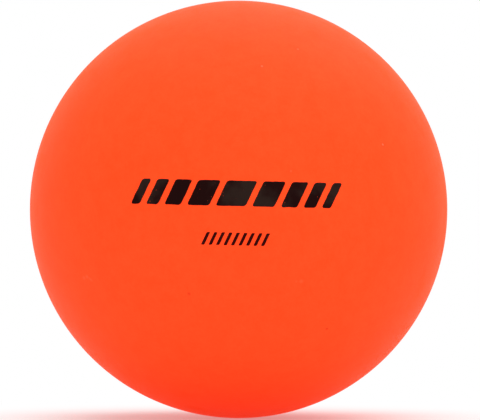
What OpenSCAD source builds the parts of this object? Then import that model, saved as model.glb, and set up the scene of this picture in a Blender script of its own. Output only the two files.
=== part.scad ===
// Street hockey ball: two welded PVC halves, a fill plug and a charge of damping liquid.
// The origin is the ball's centre, +Z is up, the front half faces -Y and the fill plug is at the +Y pole.

/* [Ball] */
// Outside diameter of the ball
ball_d = 66; // [60:0.5:76]
// Thickness of the wall
wall = 4; // [3.2:0.1:6]

/* [Welded seam] */
// Thickness of the tongue on the front half's rim
tongue_t = 1.2; // [0.8:0.1:1.6]
// Depth that the tongue reaches into the rear half
tongue_h = 2; // [1.2:0.1:3.5]
// Lead-in chamfer on both edges of the tongue's tip
tongue_lead = 0.3; // [0.1:0.05:0.35]
// Gap on each side of the tongue in its groove
weld_gap = 0.05; // [0.02:0.01:0.15]
// Depth of the flash trap past the tongue's tip
flash_trap = 0.3; // [0.1:0.05:0.6]
// Chamfer on the outer edge of each rim
outer_edge = 0.2; // [0.1:0.05:0.4]
// Chamfer on the inner edge of each rim
inner_edge = 0.4; // [0.1:0.05:0.5]

/* [Fill hole and plug] */
// Diameter of the fill hole
hole_d = 4.5; // [3:0.1:5.5]
// Diameter of the recess for the plug's head
head_d = 8; // [6.5:0.1:9]
// Depth of that recess at the pole
head_t = 1.4; // [1:0.1:2]
// Diameter of the boss at its inner end
boss_d = 10; // [8:0.1:14]
// Height of the boss inside the wall
boss_h = 2; // [1:0.1:4]
// Draft of the boss on each side, in degrees
boss_draft = 6; // [1:0.5:12]
// Fillet between the boss and the wall
boss_fillet = 0.7; // [0.2:0.1:1]
// Gap between the plug and its hole on each side
plug_gap = 0.05; // [0.02:0.01:0.12]
// Chamfer round the plug's head and round its recess
plug_edge = 0.2; // [0.1:0.05:0.35]
// Diameter of the hollow in the plug's head, where its mould was filled
gate_d = 2.2; // [1.2:0.1:3]
// Depth of that hollow
gate_h = 0.4; // [0.2:0.05:0.7]
// Lip of the barb past the hole on each side
barb_lip = 0.5; // [0.2:0.05:0.8]
// Height of the barb's straight rim
barb_rim = 0.4; // [0.2:0.05:0.8]
// Length of the barb's tapered nose
nose_h = 1.6; // [0.8:0.1:3]
// Diameter of the nose's flat end
nose_d = 3; // [1.5:0.1:3.4]
// Gap between the barb and the boss
barb_gap = 0.1; // [0.05:0.01:0.2]

/* [Liquid] */
// Depth of the liquid at the lowest point of the hollow
fill_depth = 10; // [4:0.5:18]
// Gap between the liquid and the wall
liquid_gap = 0.3; // [0.1:0.05:0.6]

/* [Hidden] */
$fn = 128;

pvc_orange = [1, 0.31, 0.14];
plug_orange = [1, 0.36, 0.16];
liquid_tint = [0.80, 0.88, 0.62, 0.6];

// Overlap that carries a cut or a joined shape past the surface it meets
over = 1;

ball_r = ball_d / 2;
cavity_r = ball_r - wall;
tongue_r = ball_r - wall / 2;
groove_t = tongue_t + 2 * weld_gap;
groove_h = tongue_h + flash_trap;
head_z = ball_r - head_t;
boss_z = cavity_r - boss_h;
boss_top_z = ball_r - wall / 2;
boss_side_h = sqrt(cavity_r * cavity_r - boss_d * boss_d / 4) - boss_z;
root_r = min(boss_fillet, boss_side_h / 2);
// Depth by which the fillet's circle bites into the boss and the wall, so that their faces cross
root_bite = 0.005;
shank_d = hole_d - 2 * plug_gap;
shank_top_z = head_z + (head_t - gate_h) / 2;
barb_z = boss_z - barb_gap;
barb_d = hole_d + 2 * barb_lip;
plug_head_d = head_d - 2 * plug_gap;
recess_rim_z = sqrt(ball_r * ball_r - head_d * head_d / 4);
gate_ball_r = (gate_d * gate_d / 4 + gate_h * gate_h) / (2 * gate_h);
liquid_r = cavity_r - liquid_gap;

// Each half is drawn with its rim on z = 0 and its pole up, then turned to its side of the ball.
module to_front() {
    rotate([90, 0, 0]) children();
}

module to_rear() {
    rotate([-90, 0, 0]) children();
}

// Bowl of even wall, with both edges of its rim chamfered
module half_bowl() {
    difference() {
        sphere(r = ball_r);
        sphere(r = cavity_r);
        translate([0, 0, -ball_r - over])
            cylinder(h = ball_r + over, r = ball_r + over);
        rotate_extrude() outer_rim_chamfer();
        rotate_extrude() inner_rim_chamfer();
    }
}

module outer_rim_chamfer() {
    polygon([
        [ball_r - outer_edge - over, -over],
        [ball_r + over, -over],
        [ball_r + over, outer_edge + over]
    ]);
}

module inner_rim_chamfer() {
    polygon([
        [cavity_r + inner_edge + over, -over],
        [cavity_r - over, -over],
        [cavity_r - over, inner_edge + over]
    ]);
}

// Tongue that stands below the rim and runs up into the wall
module tongue_profile() {
    inner_r = tongue_r - tongue_t / 2;
    outer_r = tongue_r + tongue_t / 2;
    polygon([
        [inner_r, over],
        [inner_r, tongue_lead - tongue_h],
        [inner_r + tongue_lead, -tongue_h],
        [outer_r - tongue_lead, -tongue_h],
        [outer_r, tongue_lead - tongue_h],
        [outer_r, over]
    ]);
}

module groove_profile() {
    translate([tongue_r - groove_t / 2, -over])
        square([groove_t, groove_h + over]);
}

// Radius of the boss's drafted side at a height, moved out by a distance square to that side
function boss_side(z, out = 0) = boss_d / 2 + (z - boss_z) * tan(boss_draft) + out / cos(boss_draft);

// Height at which the moved side meets a sphere round the ball's centre
function side_on_sphere(out, sphere_r) =
    let (lean = tan(boss_draft), foot = boss_side(0, out), spread = 1 + lean * lean)
    (sqrt(spread * sphere_r * sphere_r - foot * foot) - lean * foot) / spread;

// Drafted boss that gives the plug's shank its length inside the wall
module fill_boss() {
    translate([0, 0, boss_z])
        cylinder(h = boss_top_z - boss_z, r1 = boss_side(boss_z), r2 = boss_side(boss_top_z));
    rotate_extrude() boss_root_profile();
}

// Fillet between the boss and the wall
module boss_root_profile() {
    root_z = side_on_sphere(root_r - root_bite, cavity_r - root_r + root_bite);
    root = [boss_side(root_z, root_r - root_bite), root_z];
    difference() {
        polygon([[boss_d / 4, root_z], root, root * boss_top_z / cavity_r, [boss_d / 4, boss_top_z]]);
        translate(root) circle(r = root_r);
    }
}

// Stepped hole: the bore for the shank, the recess for the head and the recess's broken edge
module fill_hole() {
    translate([0, 0, boss_z - over])
        cylinder(h = head_z - boss_z + 2 * over, d = hole_d);
    translate([0, 0, head_z])
        cylinder(h = head_t + over, d = head_d);
    translate([0, 0, recess_rim_z - plug_edge])
        cylinder(h = plug_edge + over, d1 = head_d, d2 = head_d + 2 * (plug_edge + over));
}

module front_half_shell() {
    color(pvc_orange) to_front() union() {
        half_bowl();
        rotate_extrude() tongue_profile();
    }
}

module rear_half_shell() {
    color(pvc_orange) to_rear() difference() {
        union() {
            half_bowl();
            fill_boss();
        }
        fill_hole();
        rotate_extrude() groove_profile();
    }
}

// Head domed to the ball's own radius, with its broken edge and the hollow left by the mould's gate
module plug_head() {
    difference() {
        intersection() {
            translate([0, 0, head_z])
                cylinder(h = head_t + over, d = plug_head_d);
            sphere(r = ball_r);
            translate([0, 0, head_z])
                cylinder(
                    h = recess_rim_z - head_z - plug_edge + plug_head_d / 2,
                    d1 = plug_head_d + 2 * (recess_rim_z - head_z - plug_edge),
                    d2 = 0
                );
        }
        translate([0, 0, ball_r - gate_h + gate_ball_r])
            sphere(r = gate_ball_r);
    }
}

// Head flush with the ball, a shank through the wall and boss, and a barb behind the boss
module fill_plug() {
    color(plug_orange) to_rear() {
        plug_head();
        translate([0, 0, barb_z - barb_rim / 2])
            cylinder(h = shank_top_z - barb_z + barb_rim / 2, d = shank_d);
        translate([0, 0, barb_z - barb_rim])
            cylinder(h = barb_rim, d = barb_d);
        translate([0, 0, barb_z - barb_rim - nose_h])
            cylinder(h = nose_h, d1 = nose_d, d2 = barb_d);
    }
}

// Liquid lying level at the bottom of the hollow
module damping_liquid() {
    color(liquid_tint) intersection() {
        sphere(r = liquid_r);
        translate([0, 0, -cavity_r])
            cylinder(h = fill_depth, r = cavity_r);
    }
}

front_half_shell();
rear_half_shell();
fill_plug();
damping_liquid();
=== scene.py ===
# %% [markdown]
# # A street hockey ball
#
# The ball is hollow: two moulded PVC halves are welded at a seam, a plug closes the hole through which
# it was filled, a little liquid inside takes the bounce out, and a dark print sits on the front. The CAD
# model holds the real sizes, so this script loads it first as a fixed frame and takes every size that it
# can from there.

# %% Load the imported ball
import math

import bmesh
import bpy
from mathutils import Matrix, Vector


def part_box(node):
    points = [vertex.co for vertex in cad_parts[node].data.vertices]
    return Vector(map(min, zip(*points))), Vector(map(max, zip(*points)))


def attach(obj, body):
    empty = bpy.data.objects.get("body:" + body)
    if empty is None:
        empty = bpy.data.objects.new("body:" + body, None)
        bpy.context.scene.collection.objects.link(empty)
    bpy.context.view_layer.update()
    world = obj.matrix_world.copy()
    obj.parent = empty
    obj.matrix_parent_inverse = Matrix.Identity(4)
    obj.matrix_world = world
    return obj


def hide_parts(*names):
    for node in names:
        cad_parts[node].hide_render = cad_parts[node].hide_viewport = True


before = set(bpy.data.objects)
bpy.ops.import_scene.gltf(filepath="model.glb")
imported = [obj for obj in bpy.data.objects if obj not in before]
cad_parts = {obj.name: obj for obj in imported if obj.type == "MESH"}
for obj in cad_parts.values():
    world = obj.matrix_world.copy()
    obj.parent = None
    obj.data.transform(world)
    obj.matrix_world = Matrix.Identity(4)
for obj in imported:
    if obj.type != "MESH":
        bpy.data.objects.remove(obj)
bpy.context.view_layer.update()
MM = 0.001
print("nodes", sorted(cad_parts))

# %% [markdown]
# ## Reading the hidden sizes
#
# A box gives only the outside of a piece. The hollow, the tongue and the steps of the plug are measured on
# the CAD meshes instead. All of them were turned about the Y axis, and their corners lie on the true
# surfaces, so a corner's distance from that axis and its place along it say what we need.


# %% Two ways to measure a solid
def corners(node, low_y, high_y):
    """Distance from the Y axis and place along it, of a node's corners between two places on that axis."""
    points = [v.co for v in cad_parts[node].data.vertices]
    return [(math.hypot(p.x, p.z), p.y) for p in points if low_y < p.y < high_y]


def reach(places):
    """Smallest and largest distance from the Y axis."""
    return min(distance for distance, _ in places), max(distance for distance, _ in places)


tiny = 0.01 * MM
ball_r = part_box("front_half_shell")[1].x
print("corners of the front half:", len(corners("front_half_shell", -math.inf, math.inf)))

# %% The halves at the seam
cavity_r = min(v.co.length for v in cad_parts["front_half_shell"].data.vertices)
tongue_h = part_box("front_half_shell")[1].y
tongue_in, tongue_out = reach(corners("front_half_shell", tiny, tongue_h))
side_room = 0.5 * MM
end_room = 1.0 * MM
groove_floor = [
    (distance, y)
    for distance, y in corners("rear_half_shell", tongue_h, tongue_h + end_room)
    if tongue_in - side_room < distance < tongue_out + side_room
]
groove_in, groove_out = reach(groove_floor)
groove_h = max(y for _, y in groove_floor)
print(f"ball {ball_r / MM:.2f}, hollow {cavity_r / MM:.2f} mm in radius")
print(f"tongue {tongue_in / MM:.2f} to {tongue_out / MM:.2f}, {tongue_h / MM:.2f} mm high")
print(f"groove {groove_in / MM:.2f} to {groove_out / MM:.2f}, {groove_h / MM:.2f} mm deep")

# %% The fill hole
pole_r = 0.3 * ball_r
near_pole = [
    (distance, y)
    for distance, y in corners("rear_half_shell", cavity_r / 2, ball_r)
    if distance < pole_r
]
hole_r = min(distance for distance, _ in near_pole)
boss_y = min(y for distance, y in near_pole if distance < hole_r + tiny)
boss_r = max(distance for distance, y in near_pole if y < boss_y + tiny)
recess_y = max(y for distance, y in near_pole if distance < hole_r + tiny)
recess_r = min(distance for distance, y in near_pole if y > recess_y + tiny)
print(f"hole {hole_r / MM:.2f}, boss {boss_r / MM:.2f} at {boss_y / MM:.2f} mm")
print(f"recess {recess_r / MM:.2f} at {recess_y / MM:.2f} mm")

# %% The plug and the liquid
plug_low, plug_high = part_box("fill_plug")
barb_y = max(y for _, y in corners("fill_plug", plug_low.y, boss_y))
shank_r, barb_r = reach(corners("fill_plug", barb_y - tiny, barb_y + tiny))
nose_r = reach(corners("fill_plug", plug_low.y - tiny, plug_low.y + tiny))[1]
plug_head = corners("fill_plug", recess_y + tiny, ball_r)
gate_r = min(distance for distance, y in plug_head if math.hypot(distance, y) > ball_r - tiny)
gate_h = ball_r - min(y for distance, y in plug_head if distance < gate_r)
liquid_low, liquid_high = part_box("damping_liquid")
print(f"shank {shank_r / MM:.2f}, barb {barb_r / MM:.2f} at {barb_y / MM:.2f}, nose {nose_r / MM:.2f} mm")
print(f"gate {gate_r / MM:.2f}, {gate_h / MM:.2f} mm deep")
print(f"liquid from {liquid_low.z / MM:.2f} to {liquid_high.z / MM:.2f} mm")

# %% [markdown]
# ## Where the photograph was taken from
#
# The print stands in the middle of the ball, so the camera looks straight at the front, level with the
# ball's centre. A long lens from 0.7 m gives the flat look of a catalogue picture, and its length follows
# from the ball's size in the picture. The same geometry turns a pixel of the picture into a point on the
# ball, which places the print and a few small marks.

# %% Camera
photo_w, photo_h = 480, 420
photo_ball_r = 209.0
photo_centre_x, photo_centre_y = 238.6, 209.4
camera_distance = 0.7
focal_px = photo_ball_r / math.tan(math.asin(ball_r / camera_distance))
camera = bpy.data.cameras.new("camera")
camera.lens = camera.sensor_width * focal_px / photo_w
camera.shift_x = (photo_w / 2 - photo_centre_x) / photo_w
camera.shift_y = (photo_centre_y - photo_h / 2) / photo_w
camera.clip_start = 0.05
viewer = bpy.data.objects.new("camera", camera)
viewer.location = (0, -camera_distance, 0)
viewer.rotation_euler = (math.radians(90), 0, 0)
bpy.context.scene.collection.objects.link(viewer)
bpy.context.scene.camera = viewer
bpy.context.scene.view_settings.view_transform = "Standard"
print(f"lens {camera.lens:.1f} mm at {camera_distance} m")


# %% From a pixel to the ball
def on_ball(pixel_x, pixel_y):
    """Point of the ball that the picture shows at a pixel."""
    across = (pixel_x - photo_centre_x) / focal_px
    up = (photo_centre_y - pixel_y) / focal_px
    ray = Vector((across, 1, up)).normalized()
    along = ray.y * camera_distance
    return viewer.location + ray * (along - math.sqrt(along**2 - camera_distance**2 + ball_r**2))


print("middle of the picture in mm", [round(v / MM, 2) for v in on_ball(photo_w / 2, photo_h / 2)])

# %% [markdown]
# ## Writing node trees as formulas
#
# Shader and geometry trees are easier to read as formulas than as lists of links. A Wire stands for one
# output socket, and adding or multiplying wires adds the Math node that does it. Every other node comes
# from one method, Bench.add, which sets the node's settings first and then its sockets.


# %% Wires
def plug_in(socket, value):
    """Links a wire to a socket, or sets the socket's own value. A colour is written without its alpha."""
    if isinstance(value, Wire):
        socket.id_data.links.new(value.socket, socket)
    elif socket.type == "RGBA":
        socket.default_value = (*value, 1)
    else:
        socket.default_value = value


class Wire:
    """One output socket of a node tree."""

    def __init__(self, socket):
        self.socket = socket

    def math(self, operation, *operands):
        """A Math node of this wire's tree."""
        node = self.socket.id_data.nodes.new("ShaderNodeMath")
        node.operation = operation
        for socket, operand in zip(node.inputs, operands):
            plug_in(socket, operand)
        return Wire(node.outputs[0])

    def __add__(self, other):
        return self.math("ADD", self, other)

    def __radd__(self, other):
        return self.math("ADD", other, self)

    def __sub__(self, other):
        return self.math("SUBTRACT", self, other)

    def __rsub__(self, other):
        return self.math("SUBTRACT", other, self)

    def __mul__(self, other):
        return self.math("MULTIPLY", self, other)

    def __rmul__(self, other):
        return self.math("MULTIPLY", other, self)

    def __truediv__(self, other):
        return self.math("DIVIDE", self, other)

    def __rtruediv__(self, other):
        return self.math("DIVIDE", other, self)

    def __pow__(self, other):
        return self.math("POWER", self, other)

    def __abs__(self):
        return self.math("ABSOLUTE", self)

    def clipped(self, low, high):
        """The value, kept between two others."""
        return self.math("MINIMUM", self.math("MAXIMUM", self, low), high)


print("wires add, subtract, multiply, divide and take powers")


# %% Benches
class Bench:
    """A node tree under construction."""

    def __init__(self, tree):
        self.tree = tree

    def add(self, kind, settings=None, sockets=None, out=0):
        """Adds a node and returns the wire of one output, or of several where out is a tuple."""
        node = self.tree.nodes.new(kind)
        for name, value in (settings or {}).items():
            setattr(node, name, value)
        for name, value in (sockets or {}).items():
            plug_in(node.inputs[name], value)
        if isinstance(out, tuple):
            return tuple(Wire(node.outputs[name]) for name in out)
        return Wire(node.outputs[out])

    def axes(self, vector):
        """The three parts of a vector."""
        return self.add("ShaderNodeSeparateXYZ", sockets={"Vector": vector}, out=("X", "Y", "Z"))

    def ramp(self, value, low, high):
        """0 below low, 1 above high, and a smooth change between them."""
        return self.add(
            "ShaderNodeMapRange",
            {"interpolation_type": "SMOOTHSTEP"},
            {"Value": value, "From Min": low, "From Max": high},
            out="Result",
        )

    def line(self, distance, core, edge):
        """1 as far as core from a line or a point, and 0 from edge on."""
        return 1 - self.ramp(abs(distance), core, edge)


print("benches take any other node")

# %% [markdown]
# ## What every finish shares
#
# A finish is a material whose Principled shader is fed by what changes over the surface. Every pattern
# reads Object coordinates, which are metres in the ball's own frame, so a pattern of 3 mm is written as
# 3 mm and keeps its place when the ball is seen from another side. Each pattern that is offset shows
# another part of the same endless noise, so that two patterns don't run side by side.


# %% The start of every finish
class Finish(Bench):
    """A material with one Principled shader, and the patterns that feed it."""

    def __init__(self, name):
        self.material = bpy.data.materials.new(name)
        self.material.use_nodes = True
        super().__init__(self.material.node_tree)
        self.shader = self.tree.nodes["Principled BSDF"]
        self.place = self.add("ShaderNodeTexCoord", out="Object")

    def noise(self, size, detail=2.0, offset=0.0, stretch=(1, 1, 1)):
        """Soft random values between 0 and 1, in lumps of about that size."""
        moved = self.add(
            "ShaderNodeMapping",
            sockets={"Vector": self.place, "Location": (offset, offset, offset), "Scale": stretch},
        )
        return self.add(
            "ShaderNodeTexNoise", sockets={"Vector": moved, "Scale": 1 / size, "Detail": detail}, out="Fac"
        )

    def patches(self, size, detail=2.0, offset=0.0):
        """Noise with its contrast raised, so that it comes close to 0 and to 1."""
        return self.ramp(self.noise(size, detail, offset), 0.3, 0.7)

    def blend(self, share, first, second):
        """A colour between first and second. A Mix node has its colours in sockets 6 and 7 and output 2."""
        return self.add("ShaderNodeMix", {"data_type": "RGBA"}, {0: share, 6: first, 7: second}, out=2)

    def bump(self, height, depth):
        """Normals of a surface that rises by depth where height goes from 0 to 1."""
        return self.add("ShaderNodeBump", sockets={"Distance": depth, "Height": height}, out="Normal")

    def set(self, **sockets):
        """Feeds the shader: a name's underscores are the spaces of the socket's name."""
        for name, value in sockets.items():
            plug_in(self.shader.inputs[name.replace("_", " ")], value)


print("finishes have noise, patches, blends and bumps")

# %% [markdown]
# ## Fluorescent PVC
#
# Fluorescent pigment turns blue and green light into orange, so the real ball glows a little even in its
# own shade. No plain colour can do that, and a weak emission of the same orange on the clean outer skin
# is a painted glow that stands in for it and lifts the shade on the ball. The rest is what keeps moulded
# PVC from looking like paint: blotches and clouds in the pigment, a fine mould grain that makes the surface
# satin, a few nibs, scuffs and pits, painted shade and dirt at the nibs' feet, a buffed band where the weld
# was trimmed, and dirt with painted shade in the joints.

# %% Pigment and buffing
blotch_size = 11 * MM
cloud_size = 2.2 * MM
mottle_size = 0.6 * MM
grain_size = 0.2 * MM
buffed_core = 0.4 * MM
buffed_edge = 1.7 * MM
wander_reach = 2 * MM
wander_size = 6 * MM
scratch_size = 0.1 * MM
scratch_stretch = (0.03, 1, 0.03)


def pigment(finish, deep, pale):
    """Base colour of the PVC, and the mottle and grain that its surface has too."""
    blotches = finish.noise(blotch_size, detail=3.0)
    clouds = finish.patches(cloud_size, detail=3.0, offset=0.5)
    mottle = finish.patches(mottle_size, offset=0.7)
    grain = finish.patches(grain_size, offset=0.2)
    tone = 0.35 * blotches + 0.25 * clouds + 0.2 * mottle + 0.2 * grain
    return finish.blend(tone, deep, pale), mottle, grain


def buffing(finish, y):
    """Fine lines round the ball, in the uneven band where the weld was trimmed and buffed."""
    wander = wander_reach * (finish.noise(wander_size, offset=0.8) - 0.5)
    band = 1 - finish.ramp(abs(y) + wander, buffed_core, buffed_edge)
    return band * finish.noise(scratch_size, offset=0.3, stretch=scratch_stretch)


print(f"pigment in lumps of {blotch_size / MM:.0f} to {grain_size / MM:.1f} mm")
print(f"a buffed band about {2 * buffed_edge / MM:.1f} mm wide")

# %% Marks on the front of the ball
# Pixel of the picture, radius in millimetres and strength of each mark.
pale_nibs = [
    (262, 66, 0.26, 0.70),
    (383, 144.5, 0.26, 0.90),
    (298, 49, 0.28, 0.50),
    (291, 171, 0.24, 0.32),
]
pale_scuffs = [
    (83.8, 278.0, 0.45, 0.26),
    (86.8, 276.8, 0.45, 0.28),
    (89.8, 279.0, 0.36, 0.18),
    (91.3, 280.2, 0.36, 0.18),
    (296.3, 281.5, 0.30, 0.12),
    (301.4, 281.5, 0.42, 0.20),
]
dark_pits = [
    (189, 294, 0.38, 0.45),
    (327, 329, 0.28, 0.65),
]


def spots(finish, marks, spread=1.0):
    """Sum of soft round spots on the ball, each as wide as its mark times spread."""
    total = 0.0
    for pixel_x, pixel_y, radius, strength in marks:
        away = finish.add(
            "ShaderNodeVectorMath",
            {"operation": "DISTANCE"},
            {0: finish.place, 1: on_ball(pixel_x, pixel_y)},
            out="Value",
        )
        edge = spread * radius * MM
        total = total + strength * finish.line(away, 0.3 * edge, edge)
    return total


print(len(pale_nibs), "pale nibs,", len(pale_scuffs), "spots of scuffs and", len(dark_pits), "dark pits")

# %% Specks
# Behind the front, where no mark is listed, specks sit in the middles of random cells and show
# where such a middle lies in the skin. About a fifth of the cells have a nib and a fifth a pit.
speck_spacing = 6 * MM
speck_core = 0.12 * MM
speck_edge = 0.30 * MM
strewn_from_y = -12 * MM
strewn_full_y = -8 * MM


def specks(finish, y):
    """Shares of pale and dark specks, placed on the front and strewn behind it. A nib has a dark foot of
    painted shade and dirt.
    """
    random, away = finish.add(
        "ShaderNodeTexVoronoi",
        sockets={"Vector": finish.place, "Scale": 1 / speck_spacing},
        out=("Color", "Distance"),
    )
    draw, _, _ = finish.axes(random)
    cell_specks = finish.line(away, speck_core / speck_spacing, speck_edge / speck_spacing)
    strewn = 0.7 * cell_specks * finish.ramp(y, strewn_from_y, strewn_full_y)
    pale = spots(finish, pale_nibs + pale_scuffs) + strewn * finish.ramp(draw, 0.78, 0.80)
    # Painted shade and dirt: a faint dark ring round the foot of each raised nib.
    nib_foot_shade_and_dirt = 0.25 * spots(finish, pale_nibs, spread=2.2)
    dark = spots(finish, dark_pits) + nib_foot_shade_and_dirt + strewn * (1 - finish.ramp(draw, 0.20, 0.22))
    return pale, dark


print(f"specks strewn in cells of {speck_spacing / MM:.0f} mm")

# %% Joints, their dirt and painted shade
# A line of dirt and painted shade, or the torn spot, has two sizes: how far it is full, and where it ends.
mouth_depth = 0.7 * MM
wall_depth = 1.0 * MM
torn_spot = (0.20 * MM, 0.50 * MM)
seam_dirt_and_shade = (0.05 * MM, 0.24 * MM)
plug_dirt_and_shade = (0.06 * MM, 0.26 * MM)
gate_dirt_and_shade = (0.05 * MM, 0.30 * MM)
dirt_and_shade_patch_size = 2.5 * MM


def outside(finish):
    """1 on the outer skin and in the mouth of a joint, 0 deeper in the wall and in the hollow."""
    from_centre = finish.add(
        "ShaderNodeVectorMath", {"operation": "LENGTH"}, {0: finish.place}, out="Value"
    )
    return finish.ramp(from_centre, ball_r - wall_depth, ball_r - mouth_depth)


def joints(finish, y, off_axis):
    """Share of torn PVC at the plug's gate, and of dirt with painted shade in the seam, round the plug and
    round the gate.
    """
    rear = finish.ramp(y, 0, tiny)
    torn = rear * finish.line(off_axis, *torn_spot)
    # Painted shade and dirt: dark lines in the seam's groove, round the plug's ring and round the gate's
    # hollow, uneven in strength.
    seam_line = finish.line(y, *seam_dirt_and_shade)
    plug_line = rear * finish.line(off_axis - recess_r, *plug_dirt_and_shade)
    gate_line = rear * finish.line(off_axis - gate_r, *gate_dirt_and_shade)
    patchy = finish.ramp(finish.noise(dirt_and_shade_patch_size, detail=4.0, offset=0.9), 0.35, 0.65)
    return torn, (0.18 + 0.37 * patchy) * (seam_line + plug_line + 0.7 * gate_line)


# Dirt with painted shade lies in the seam, round the plug and round its gate.
print(f"dirt lies at the seam, {recess_r / MM:.2f} and {gate_r / MM:.2f} mm from the plug's axis")

# %% The PVC
whitened_pvc = (1.0, 0.17, 0.08)
# Red of the pits, and of the painted shade and dirt at the nibs' feet.
pit_and_foot_shade_red = (0.25, 0.025, 0.004)
# Brown of the dirt and painted shade in the joints.
dirt_and_shade_brown = (0.32, 0.028, 0.008)
# Orange of the painted glow that stands in for the pigment's fluorescence.
fluorescent_painted_glow = (1.0, 0.06, 0.018)
no_glow = (0.0, 0.0, 0.0)
smudge_size = 5 * MM
wave_size = 2.5 * MM
relief_depth = 0.015 * MM


def moulded_pvc(name, deep, pale):
    """A PVC finish whose pigment lies between two oranges."""
    finish = Finish(name)
    x, y, z = finish.axes(finish.place)
    off_axis = (x * x + z * z) ** 0.5
    colour, mottle, grain = pigment(finish, deep, pale)
    worn = outside(finish)
    buffed = worn * buffing(finish, y)
    pale_specks, dark_specks_and_foot_shade = specks(finish, y)
    torn, dirt_and_shade = joints(finish, y, off_axis)
    # The pits and the painted shade at the nibs' feet turn the colour dark red.
    colour = finish.blend(dark_specks_and_foot_shade, colour, pit_and_foot_shade_red)
    colour = finish.blend(0.4 * buffed + 0.5 * worn * torn + 0.9 * pale_specks, colour, whitened_pvc)
    # Dirt and painted shade in the joints turn the colour brown.
    colour = finish.blend(worn * dirt_and_shade, colour, dirt_and_shade_brown)
    smudges = finish.ramp(finish.noise(smudge_size, detail=4.0, offset=0.4), 0.5, 0.75)
    waves = finish.noise(wave_size, offset=0.6)
    relief = 0.25 * grain + 0.25 * mottle + 0.8 * waves + 0.4 * buffed + 2 * pale_specks - 2 * dark_specks_and_foot_shade
    finish.set(
        Base_Color=colour,
        Roughness=0.46 + 0.12 * grain + 0.08 * smudges + 0.15 * buffed,
        Normal=finish.bump(relief, relief_depth),
        Specular_IOR_Level=0.05,
        Sheen_Weight=0.08,
        Sheen_Roughness=0.4,
        Sheen_Tint=(1.0, 0.6, 0.12),
        # Painted glow: an even orange emission on the clean outer skin, weaker in the joints and at the
        # dark specks.
        Emission_Color=finish.blend(worn * (1 - dirt_and_shade - dark_specks_and_foot_shade), no_glow, fluorescent_painted_glow),
        Emission_Strength=0.35,
    )
    return finish.material


ball_orange = moulded_pvc("ball_orange", deep=(0.955, 0.048, 0.0035), pale=(1.0, 0.072, 0.0125))
plug_orange = moulded_pvc("plug_orange", deep=(0.93, 0.054, 0.0045), pale=(0.98, 0.084, 0.0165))
print("PVC finishes:", ball_orange.name, plug_orange.name)

# %% [markdown]
# ## Ink and liquid
#
# Pad-printing ink lies on the ball as a thin matt film. It is close to black where it is thick, turns to
# charcoal where it is thin, and has pinholes where the pad didn't take. The liquid is a clear mix of water
# and glycol with a green tint, which nobody sees until a half is lifted off.

# %% The ink
bare_orange = (0.85, 0.06, 0.008)
thin_patch_size = 4.5 * MM
pinhole_size = 0.3 * MM
ink_grain_size = 0.25 * MM
ink_relief = 0.003 * MM


def pad_ink(name, thick, thin):
    """An ink finish between the colours of a thick and of a thin film."""
    finish = Finish(name)
    thinned = finish.ramp(finish.noise(thin_patch_size, detail=3.0, offset=0.3), 0.42, 0.62)
    pinholes = finish.ramp(finish.noise(pinhole_size, detail=1.0), 0.76, 0.80)
    grain = finish.noise(ink_grain_size, offset=0.1)
    finish.set(
        Base_Color=finish.blend(0.7 * pinholes, finish.blend(thinned, thick, thin), bare_orange),
        Roughness=0.50 + 0.15 * thinned + 0.10 * grain,
        Normal=finish.bump(grain, ink_relief),
        Specular_IOR_Level=0.04,
    )
    return finish.material


bar_ink = pad_ink("bar_ink", thick=(0.012, 0.0016, 0.0013), thin=(0.023, 0.0120, 0.0090))
tick_ink = pad_ink("tick_ink", thick=(0.034, 0.0010, 0.0008), thin=(0.050, 0.0040, 0.0030))
print("ink finishes:", bar_ink.name, tick_ink.name)

# %% The liquid's finish
swirl_size = 9 * MM
ripple_size = 6 * MM
ripple_h = 0.02 * MM


def damping_glycol(name, deep, pale):
    """A clear liquid whose tint lies between two greens."""
    finish = Finish(name)
    swirl = finish.noise(swirl_size)
    finish.set(
        Base_Color=finish.blend(swirl, deep, pale),
        Roughness=0.03 + 0.04 * swirl,
        Normal=finish.bump(finish.noise(ripple_size, offset=0.5), ripple_h),
        IOR=1.39,
        Transmission_Weight=0.85,
    )
    return finish.material


green_glycol = damping_glycol("green_glycol", deep=(0.62, 0.78, 0.34), pale=(0.78, 0.88, 0.52))
print("liquid finish:", green_glycol.name)

# %% [markdown]
# ## From a node tree to a plain mesh
#
# Geometry Nodes make the pieces, because the ball's shapes follow rules: the halves are turned and the
# print repeats. A tree has named inputs for its sizes. The result is then kept as the piece's own plain
# mesh, so that nothing is left to work out later, and every mesh is checked: a skin with an open edge
# wouldn't be a solid.


# %% Trees
def new_tree(name, inputs):
    """A tree with geometry in and out and named inputs: its bench, its input wires and its output node."""
    bench = Bench(bpy.data.node_groups.new(name, "GeometryNodeTree"))
    sides = bench.tree.interface
    sides.new_socket("Geometry", in_out="INPUT", socket_type="NodeSocketGeometry")
    sides.new_socket("Geometry", in_out="OUTPUT", socket_type="NodeSocketGeometry")
    for label, kind in inputs.items():
        sides.new_socket(label, in_out="INPUT", socket_type=f"NodeSocket{kind}")
    source = bench.tree.nodes.new("NodeGroupInput")
    wires = {label: Wire(source.outputs[label]) for label in ("Geometry", *inputs)}
    return bench, wires, bench.tree.nodes.new("NodeGroupOutput")


def close_tree(bench, output, geometry, material):
    """Ends a tree with real geometry and its material."""
    real = bench.add("GeometryNodeRealizeInstances", sockets={"Geometry": geometry})
    painted = bench.add("GeometryNodeSetMaterial", sockets={"Geometry": real, "Material": material})
    plug_in(output.inputs["Geometry"], painted)
    return bench.tree


print("trees can be opened and closed")


# %% From a tree to a mesh
def chain(name, points):
    """A piece that is a row of joined points in the XY plane, for a tree to work on."""
    mesh = bpy.data.meshes.new(name)
    links = [(i, i + 1) for i in range(len(points) - 1)]
    mesh.from_pydata([(r, y, 0) for r, y in points], links, [])
    piece = bpy.data.objects.new(name, mesh)
    bpy.context.scene.collection.objects.link(piece)
    return piece


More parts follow.
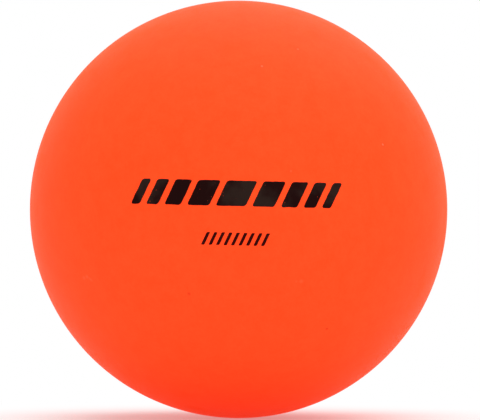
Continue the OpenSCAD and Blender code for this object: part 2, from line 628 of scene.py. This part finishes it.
def made_by(tree, piece, **inputs):
    """Runs a tree on a piece and keeps the result as the piece's own plain mesh, with its one material."""
    modifier = piece.modifiers.new(tree.name, "NODES")
    modifier.node_group = tree
    items = [item for item in tree.interface.items_tree if item.in_out == "INPUT"]
    sockets = {item.name: item.identifier for item in items}
    for name, value in inputs.items():
        modifier[sockets[name.replace("_", " ")]] = value
    finished = piece.evaluated_get(bpy.context.evaluated_depsgraph_get())
    mesh = bpy.data.meshes.new_from_object(finished)
    mesh.name = piece.name
    mesh.materials.clear()
    mesh.materials.append(inputs["Material"])
    mesh.polygons.foreach_set("material_index", [0] * len(mesh.polygons))
    piece.modifiers.clear()
    piece.data = mesh
    return piece


def faced_outwards(piece):
    """Turns all faces outwards and says how large the solid is and whether its skin is closed."""
    skin = bmesh.new()
    skin.from_mesh(piece.data)
    bmesh.ops.recalc_face_normals(skin, faces=skin.faces)
    if skin.calc_volume(signed=True) < 0:
        bmesh.ops.reverse_faces(skin, faces=skin.faces)
    volume = skin.calc_volume(signed=True) / MM**3
    open_edges = sum(not edge.is_manifold for edge in skin.edges)
    skin.to_mesh(piece.data)
    skin.free()
    print(f"{piece.name}: {len(piece.data.polygons)} faces, {volume:.1f} mm3, {open_edges} open edges")
    return piece


print("trees can be run on pieces")

# %% [markdown]
# ## A lathe
#
# The halves, the plug and the pool of liquid are all round, so one tree turns any of them from its
# profile, as a lathe does. The piece's own mesh is the profile: a chain of points, with X as the distance
# from the axis. The tree lays a grid with one column for each point, takes that point's place for the
# whole column, swings each row a little further about Y, and merges the grid's edges so that the skin
# closes.


# %% The lathe tree
def lathe_tree():
    """A tree that turns a chain of points about the Y axis."""
    bench, wires, output = new_tree(
        "lathe", {"Segments": "Int", "Weld": "Float", "Sharp Angle": "Float", "Material": "Material"}
    )
    count = bench.add("GeometryNodeAttributeDomainSize", sockets={"Geometry": wires["Geometry"]})
    rows = wires["Segments"] + 1
    grid = bench.add("GeometryNodeMeshGrid", sockets={"Vertices X": count, "Vertices Y": rows})
    index = bench.add("GeometryNodeInputIndex")
    column = index.math("FLOOR", index / rows)
    turn = (index - column * rows) * (2 * math.pi) / wires["Segments"]
    position = bench.add("GeometryNodeInputPosition")
    point = bench.add(
        "GeometryNodeSampleIndex",
        {"data_type": "FLOAT_VECTOR"},
        {"Geometry": wires["Geometry"], "Value": position, "Index": column},
    )
    off_axis, along, _ = bench.axes(point)
    across = off_axis * turn.math("COSINE", turn)
    up = off_axis * turn.math("SINE", turn)
    swung = bench.add("ShaderNodeCombineXYZ", sockets={"X": across, "Y": along, "Z": up})
    skin = bench.add("GeometryNodeSetPosition", sockets={"Geometry": grid, "Position": swung})
    skin = bench.add("GeometryNodeMergeByDistance", sockets={"Geometry": skin, "Distance": wires["Weld"]})
    fold = bench.add("GeometryNodeInputMeshEdgeAngle", out="Unsigned Angle")
    soft = fold.math("LESS_THAN", fold, wires["Sharp Angle"])
    skin = bench.add("GeometryNodeSetShadeSmooth", {"domain": "FACE"}, {"Geometry": skin})
    skin = bench.add(
        "GeometryNodeSetShadeSmooth", {"domain": "EDGE"}, {"Geometry": skin, "Shade Smooth": soft}
    )
    return close_tree(bench, output, skin, wires["Material"])


lathe = lathe_tree()
weld = 0.001 * MM
sharp_angle = math.radians(35)


def turned(name, profile, segments, material):
    """A solid turned about the Y axis."""
    return made_by(
        lathe,
        chain(name, profile),
        Segments=segments,
        Weld=weld,
        Sharp_Angle=sharp_angle,
        Material=material,
    )


print("lathe tree:", len(lathe.nodes), "nodes")

# %% [markdown]
# ## A moulded skin
#
# No moulded ball is as even as a turned one. PVC sinks by a few hundredths of a millimetre as it cools,
# and the weld's bead is trimmed off by hand, which leaves a band that isn't quite flat. A second tree
# gives the turned pieces that skin. It only ever moves points inwards, so the ball never grows, and
# because the pattern hangs on place alone, both halves and the plug still meet each other.


# %% The skin tree
def skin_tree():
    """A tree that lowers the outer skin unevenly."""
    sizes = ("Ball Radius", "Skin Depth", "Sink", "Sink Size", "Trim", "Trim Size", "Trim Band", "Seed")
    inputs = {**{label: "Float" for label in sizes}, "Material": "Material"}
    bench, wires, output = new_tree("moulded_skin", inputs)
    place = bench.add("GeometryNodeInputPosition")
    _, y, _ = bench.axes(place)
    distance = bench.add("ShaderNodeVectorMath", {"operation": "LENGTH"}, {0: place}, out="Value")
    outwards = bench.add("ShaderNodeVectorMath", {"operation": "NORMALIZE"}, {0: place})

    def noise(size):
        return bench.add(
            "ShaderNodeTexNoise",
            {"noise_dimensions": "4D"},
            {"Vector": place, "W": wires["Seed"], "Scale": 1 / size, "Detail": 1.0},
        )

    on_skin = distance.math("GREATER_THAN", distance, wires["Ball Radius"] - wires["Skin Depth"])
    trimmed = wires["Trim"] * bench.line(y, wires["Trim Band"] / 2, wires["Trim Band"])
    drop = wires["Sink"] * noise(wires["Sink Size"]) + trimmed * noise(wires["Trim Size"])
    inwards = 0 - on_skin * drop
    offset = bench.add("ShaderNodeVectorMath", {"operation": "SCALE"}, {0: outwards, "Scale": inwards})
    skin = bench.add("GeometryNodeSetPosition", sockets={"Geometry": wires["Geometry"], "Offset": offset})
    return close_tree(bench, output, skin, wires["Material"])


moulded_skin = skin_tree()


def moulded(piece, material):
    """The piece with the skin that moulding and trimming leave."""
    return made_by(
        moulded_skin,
        piece,
        Ball_Radius=ball_r,
        Skin_Depth=0.5 * MM,
        Sink=0.03 * MM,
        Sink_Size=16 * MM,
        Trim=0.10 * MM,
        Trim_Size=3 * MM,
        Trim_Band=1.4 * MM,
        Seed=7.0,
        Material=material,
    )


print("skin tree:", len(moulded_skin.nodes), "nodes")

# %% [markdown]
# ## The two halves
#
# A profile is written the way a drawing is read: along the outside from the pole, round the lip at the
# seam, over the tongue or the groove, and back along the hollow. The lips are rounded a little, because
# moulded edges are never sharp, and the two roundings together are the fine line that shows at the seam.


# %% Arcs of a profile
def arc(centre, radius, start, stop, steps):
    """Points of a circle in the profile's plane, from one angle to another in degrees."""
    turns = [math.radians(start + (stop - start) * i / steps) for i in range(steps + 1)]
    return [(centre[0] + radius * math.cos(t), centre[1] + radius * math.sin(t)) for t in turns]


def climb_deg(height, radius):
    """Angle in degrees at which a circle round the middle reaches a height."""
    return math.degrees(math.asin(height / radius))


def spread_deg(width, radius):
    """Angle in degrees at which a circle round the middle is a width away from the axis."""
    return math.degrees(math.acos(width / radius))


middle = (0.0, 0.0)
film = 0.02 * MM
skin_r = ball_r - film
print(f"the skin lies {film / MM:.2f} mm under the CAD surface, which leaves room for the print")

# %% Front half
# A rounding leaves out the degrees next to the outer skin, where the skin's own last point stands.
left_out_deg = 15
lip = 0.3 * MM
tongue_lead = 0.3 * MM
inner_edge = 0.4 * MM
shell_segments = 288
lip_deg = climb_deg(lip, skin_r)
edge_deg = climb_deg(inner_edge, cavity_r)
front_profile = [
    *arc(middle, skin_r, -90, -lip_deg, steps=84),
    *arc((skin_r - lip, -lip), lip, left_out_deg, 90, steps=5),
    (tongue_out, 0),
    (tongue_out, tongue_h - tongue_lead),
    (tongue_out - tongue_lead, tongue_h),
    (tongue_in + tongue_lead, tongue_h),
    (tongue_in, tongue_h - tongue_lead),
    (tongue_in, 0),
    (cavity_r + inner_edge, 0),
    *arc(middle, cavity_r, -edge_deg, -90, steps=40),
]
front_half = moulded(turned("front_half", front_profile, shell_segments, ball_orange), ball_orange)
faced_outwards(front_half)

# %% [markdown]
# The rear half has the groove, and at its pole a stepped hole through a boss. The boss makes the wall
# thick there, and thick PVC shrinks more as it cools, so the skin over it has sunk into a shallow ring
# round the plug.

# %% The sunk ring
sink_ring_r = 5.6 * MM
sink_ring_w = 1.1 * MM
sink_ring_h = 0.12 * MM
sink_end_deg = 70


def sunk(point):
    """A point of the outer skin, lowered where it lies over the boss."""
    lowered = sink_ring_h * math.exp(-(((point[0] - sink_ring_r) / sink_ring_w) ** 2))
    share = 1 - lowered / math.hypot(*point)
    return (share * point[0], share * point[1])


hole_edge = 0.3 * MM
hole_deg = spread_deg(recess_r + hole_edge, skin_r)
sunk_skin = [sunk(point) for point in arc(middle, skin_r, hole_deg, sink_end_deg, steps=24)]
rim_y = sunk_skin[0][1]
print(f"the ring is {sink_ring_h / MM:.2f} mm deep, {sink_ring_r / MM:.1f} mm from the plug's axis")

# %% Rear half
boss_fillet = 0.7 * MM
root_x = boss_r + boss_fillet
root_y = math.sqrt(cavity_r**2 - root_x**2) - boss_fillet
root_deg = spread_deg(root_x, cavity_r)
rear_profile = [
    (recess_r, recess_y),
    *arc((recess_r + hole_edge, rim_y - hole_edge), hole_edge, 180, 90 + left_out_deg, steps=5),
    *sunk_skin,
    *arc(middle, skin_r, sink_end_deg - 1, lip_deg, steps=66),
    *arc((skin_r - lip, lip), lip, -left_out_deg, -90, steps=5),
    (groove_out, 0),
    (groove_out, groove_h),
    (groove_in, groove_h),
    (groove_in, 0),
    (cavity_r + inner_edge, 0),
    *arc(middle, cavity_r, edge_deg, root_deg, steps=36),
    *arc((root_x, root_y), boss_fillet, 90, 180, steps=6)[1:],
    (boss_r, boss_y),
    (hole_r, boss_y),
    (hole_r, recess_y),
    (recess_r, recess_y),
]
rear_half = moulded(turned("rear_half", rear_profile, shell_segments, ball_orange), ball_orange)
faced_outwards(rear_half)

# %% [markdown]
# ## Plug and liquid
#
# The plug is pressed into the stepped hole from outside. Its head is domed to the ball's own radius and
# sits a hair below the surface, and a hollow in its middle shows where its mould was filled. The liquid
# lies level and climbs a little at the wall, as water does.

# %% The plug's head
head_r = plug_high.x
head_edge = 0.3 * MM
below_skin = 0.06 * MM
dome_r = skin_r - below_skin
head_deg = spread_deg(head_r - head_edge, dome_r)
head_y = dome_r * math.sin(math.radians(head_deg))
gate_deg = spread_deg(gate_r, dome_r)
gate_floor_y = dome_r - gate_h
gate_depth = math.sqrt(dome_r**2 - gate_r**2) - gate_floor_y
gate_ball_r = (gate_r**2 + gate_depth**2) / (2 * gate_depth)
gate_span = 2 * math.degrees(math.atan(gate_depth / gate_r))
print(f"the gate's hollow has a radius of {gate_ball_r / MM:.2f} mm")

# %% Plug
barb_rim = 0.4 * MM
plug_segments = 96
plug_profile = [
    *arc((0, gate_floor_y + gate_ball_r), gate_ball_r, -90, gate_span - 90, steps=8)[:-1],
    *arc(middle, dome_r, gate_deg, head_deg, steps=14),
    *arc((head_r - head_edge, head_y - head_edge), head_edge, 90 - left_out_deg, 0, steps=5),
    (head_r, recess_y),
    (shank_r, recess_y),
    (shank_r, barb_y),
    (barb_r, barb_y),
    (barb_r, barb_y - barb_rim),
    (nose_r, plug_low.y),
    (0, plug_low.y),
]
plug = moulded(turned("plug", plug_profile, plug_segments, plug_orange), plug_orange)
faced_outwards(plug)

# %% Liquid
liquid_r = -liquid_low.z
shore_z = liquid_high.z
shore_r = math.sqrt(liquid_r**2 - shore_z**2)
climb = 0.8 * MM
climb_reach = 1.3 * MM
rings = 48
liquid_segments = 192
surface = [
    (shore_r * i / rings, shore_z - climb + climb * math.exp(shore_r * (i / rings - 1) / climb_reach))
    for i in range(rings)
]
shore_deg = climb_deg(shore_z, liquid_r)
liquid_profile = [*surface, *arc(middle, liquid_r, shore_deg, -90, steps=40)]
liquid = turned("liquid_pool", liquid_profile, liquid_segments, green_glycol)
# The lathe's axis is Y, so a quarter turn about X stands the pool upright.
liquid.data.transform(Matrix.Rotation(math.radians(90), 4, "X"))
faced_outwards(liquid)

# %% [markdown]
# ## The print
#
# A silicone pad presses the print straight on along the ball's axis, so from the front it looks flat,
# while the film bends with the ball. The design is plain: a row of slanted bars that are widest in the
# middle, and a short row of ticks below. One tree makes both rows. It counts off the bars along a line,
# rounds their corners, roughens their edges as a pad does, and then drops every point onto the ball.

# %% Bars in a row
slab_points = 21


def bars_in_a_row(bench, wires):
    """Flat slabs in a row. Each keeps its width, its place in the row and its own coordinates."""
    number = bench.add("GeometryNodeInputIndex")
    steps_out = abs(number - (wires["Count"] - 1) / 2)
    width = wires["Widest"] * wires["Taper"] ** steps_out
    before, whole = bench.add(
        "GeometryNodeAccumulateField",
        {"data_type": "FLOAT"},
        {"Value": width + wires["Gap"]},
        out=("Trailing", "Total"),
    )
    start = before + width / 2 - (whole - wires["Gap"]) / 2
    line = bench.add("GeometryNodeMeshLine", sockets={"Count": wires["Count"], "Offset": (0, 0, 0)})
    counts = {"Vertices X": slab_points, "Vertices Y": 2, "Vertices Z": slab_points}
    slab = bench.add("GeometryNodeMeshCube", sockets={"Size": (1, 1, 1), **counts})
    own = bench.add("GeometryNodeInputPosition")

    def stored(geometry, label, kind, value):
        return bench.add(
            "GeometryNodeStoreNamedAttribute",
            {"data_type": kind, "domain": "POINT"},
            {"Geometry": geometry, "Name": label, "Value": value},
        )

    line = stored(stored(line, "bar_width", "FLOAT", width), "bar_start", "FLOAT", start)
    slab = stored(slab, "bar_own", "FLOAT_VECTOR", own)
    bars = bench.add("GeometryNodeInstanceOnPoints", sockets={"Points": line, "Instance": slab})
    return bench.add("GeometryNodeRealizeInstances", sockets={"Geometry": bars})


def recalled(bench, label, kind="FLOAT"):
    """What was stored on the slabs."""
    return bench.add("GeometryNodeInputNamedAttribute", {"data_type": kind}, {"Name": label})


print(f"bars of {slab_points} by {slab_points} points can be laid in a row")

# %% Corners and edges of the print
least_length = 1e-9


def round_corners(u, v, half_u, half_v, corner):
    """Moves points of a rectangle so that its corners become quarter circles."""
    core_u = u.clipped(corner - half_u, half_u - corner)
    core_v = v.clipped(corner - half_v, half_v - corner)
    rest_u = u - core_u
    rest_v = v - core_v
    square = rest_u.math("MAXIMUM", abs(rest_u), abs(rest_v))
    length = (rest_u * rest_u + rest_v * rest_v) ** 0.5
    pull = square / length.math("MAXIMUM", length, least_length)
    return core_u + rest_u * pull, core_v + rest_v * pull


def roughen(bench, wires, u, v):
    """Moves points a little at random, as ink creeps at the edge of a pad's print."""
    spot = bench.add("ShaderNodeCombineXYZ", sockets={"X": u, "Z": v})
    ragged = bench.add(
        "ShaderNodeTexNoise",
        {"noise_dimensions": "4D"},
        {"Vector": spot, "W": wires["Seed"], "Scale": 1 / wires["Rag Size"], "Detail": 3.0},
        out="Color",
    )
    rag_u, _, rag_v = bench.axes(ragged)
    return u + (rag_u - 0.5) * 2 * wires["Rag"], v + (rag_v - 0.5) * 2 * wires["Rag"]


print("corners can be rounded and edges roughened")


# %% The print tree
def print_tree():
    """A tree that makes one row of the print on the ball."""
    sizes = ("Widest", "Taper", "Gap", "Height", "Slant", "Corner", "Rag", "Rag Size", "Film")
    places = ("Ball Radius", "Across", "Up", "Tilt", "Seed")
    inputs = {"Count": "Int", **{label: "Float" for label in sizes + places}, "Material": "Material"}
    bench, wires, output = new_tree("print_row", inputs)
    bars = bars_in_a_row(bench, wires)
    share_u, depth, share_v = bench.axes(recalled(bench, "bar_own", "FLOAT_VECTOR"))
    width = recalled(bench, "bar_width")
    height = wires["Height"]
    u, v = round_corners(share_u * width, share_v * height, width / 2, height / 2, wires["Corner"])
    u = u + recalled(bench, "bar_start") + v * wires["Slant"].math("TANGENT", wires["Slant"])
    u, v = roughen(bench, wires, u, v)

    cosine = wires["Tilt"].math("COSINE", wires["Tilt"])
    sine = wires["Tilt"].math("SINE", wires["Tilt"])
    x = u * cosine - v * sine + wires["Across"]
    z = u * sine + v * cosine + wires["Up"]
    layer_r = wires["Ball Radius"] - (depth + 0.5) * wires["Film"]
    y = 0 - (layer_r * layer_r - x * x - z * z) ** 0.5
    dropped = bench.add("ShaderNodeCombineXYZ", sockets={"X": x, "Y": y, "Z": z})
    bars = bench.add("GeometryNodeSetPosition", sockets={"Geometry": bars, "Position": dropped})
    for label in ("bar_width", "bar_start", "bar_own"):
        bars = bench.add("GeometryNodeRemoveAttribute", sockets={"Geometry": bars, "Name": label})
    bars = bench.add("GeometryNodeSetShadeSmooth", {"domain": "FACE"}, {"Geometry": bars})
    return close_tree(bench, output, bars, wires["Material"])


row_print = print_tree()
print("print tree:", len(row_print.nodes), "nodes")


# %% The two printed rows
def printed_row(name, pixel, material, **sizes):
    """A row of the print, centred on a pixel of the picture. Its film's inner side lies in the skin."""
    centre = on_ball(*pixel)
    row = made_by(
        row_print,
        chain(name, [middle]),
        Count=9,
        Slant=math.radians(24),
        Tilt=math.radians(-1.35),
        Film=3 * film,
        Ball_Radius=ball_r,
        Across=centre.x,
        Up=centre.z,
        Seed=3.0,
        Material=material,
        **sizes,
    )
    return faced_outwards(row)


bars_pixel = (236.5, 193.3)
ticks_pixel = (235.5, 239.0)
bars = printed_row(
    "print_bars",
    bars_pixel,
    bar_ink,
    Widest=4.55 * MM,
    Taper=0.74,
    Gap=0.95 * MM,
    Height=3.85 * MM,
    Corner=0.35 * MM,
    Rag=0.09 * MM,
    Rag_Size=0.8 * MM,
)
ticks = printed_row(
    "print_ticks",
    ticks_pixel,
    tick_ink,
    Widest=0.50 * MM,
    Taper=1.0,
    Gap=0.63 * MM,
    Height=1.92 * MM,
    Corner=0.12 * MM,
    Rag=0.05 * MM,
    Rag_Size=0.4 * MM,
)

# %% [markdown]
# ## Joining the pieces to the frame
#
# Each piece is listed with the CAD body it rides on, the CAD node it stands for and a finish of the record,
# which the loop below doesn't use. The halves, the plug and the print ride on the ball, and the pool of
# liquid rides on its own body, which swings about the ball's Y axis.

# %% Bodies, nodes and slots
for piece, body, node, slot in (
    (front_half, "ball", "front_half_shell", "ball_pvc"),
    (rear_half, "ball", "rear_half_shell", "ball_pvc"),
    (plug, "ball", "fill_plug", "plug_pvc"),
    (liquid, "liquid", "damping_liquid", "damping_liquid"),
    (bars, "ball", None, "print_ink"),
    (ticks, "ball", None, "print_ink"),
):
    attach(piece, body)
    if node:
        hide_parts(node)
    print(f"{piece.name} rides on {body}")

# %% [markdown]
# ## Floor and light
#
# The ball was photographed in soft light from above on white. A pale world lights it from all sides and
# one wide lamp overhead gives the brighter crown and the shadow. The background is white for the eye
# alone: rays from the camera, and those that mirror or pass through, meet plain white away from the ball,
# and the light on the ball stays as it is.


# %% What only the eye sees
def seen_directly(bench):
    """1 for rays from the camera and those that mirror or pass through, 0 for rays that carry light."""
    camera_ray, glossy_ray, through_ray = bench.add(
        "ShaderNodeLightPath", out=("Is Camera Ray", "Is Glossy Ray", "Is Transmission Ray")
    )
    return (camera_ray + glossy_ray + through_ray).clipped(0, 1)


white = (1.0, 1.0, 1.0)
print("the eye's rays can be told apart")

# %% The floor's finish
shadow_core = 0.6 * ball_r
shadow_edge = 1.9 * ball_r
shadow_share = 0.75
stain_size = 0.2


def pale_floor(name):
    """A matt floor that keeps the shadow near the ball and is plain white further out."""
    finish = Finish(name)
    x, y, _ = finish.axes(finish.place)
    near_ball = finish.line((x * x + y * y) ** 0.5, shadow_core, shadow_edge)
    stains = finish.noise(stain_size, detail=3.0)
    finish.set(
        Base_Color=finish.blend(stains, (0.80, 0.80, 0.80), (0.83, 0.83, 0.83)),
        Roughness=0.85 + 0.1 * stains,
        Specular_IOR_Level=0.0,
    )
    glow = finish.add("ShaderNodeEmission", sockets={"Color": white, "Strength": 1.0})
    share = seen_directly(finish) * (1 - shadow_share * near_ball)
    lit = Wire(finish.shader.outputs[0])
    mixed = finish.add("ShaderNodeMixShader", sockets={0: share, 1: lit, 2: glow})
    plug_in(finish.tree.nodes["Material Output"].inputs["Surface"], mixed)
    return finish.material


floor_white = pale_floor("pale_floor")
print(f"the shadow shows as far as {shadow_edge / MM:.0f} mm from the ball's foot")

# %% Floor
floor_half = 6.0
floor_signs = ((-1, -1), (1, -1), (1, 1), (-1, 1))
floor_corners = [(x * floor_half, y * floor_half, -ball_r) for x, y in floor_signs]
floor_mesh = bpy.data.meshes.new("floor")
floor_mesh.from_pydata(floor_corners, [], [(0, 1, 2, 3)])
floor_mesh.materials.append(floor_white)
floor = bpy.data.objects.new("floor", floor_mesh)
bpy.context.scene.collection.objects.link(floor)
print(f"floor {2 * floor_half:.0f} m wide at {-ball_r / MM:.1f} mm")

# %% Light
world_level = 0.735
world = bpy.data.worlds.new("pale_world")
world.use_nodes = True
bpy.context.scene.world = world
sky = Bench(world.node_tree)
background = world.node_tree.nodes["Background"]
plug_in(background.inputs["Color"], white)
plug_in(background.inputs["Strength"], world_level + (1 - world_level) * seen_directly(sky))

lamp = bpy.data.lights.new("overhead_lamp", "AREA")
lamp.shape = "DISK"
lamp.size = 1.8
lamp.energy = 11.0
lamp_holder = bpy.data.objects.new("overhead_lamp", lamp)
lamp_holder.location = (0.3, 0, 0.9)
lamp_holder.visible_camera = False
bpy.context.scene.collection.objects.link(lamp_holder)
print(f"world {world_level}, lamp {lamp.energy:.1f} W over {lamp.size:.1f} m")
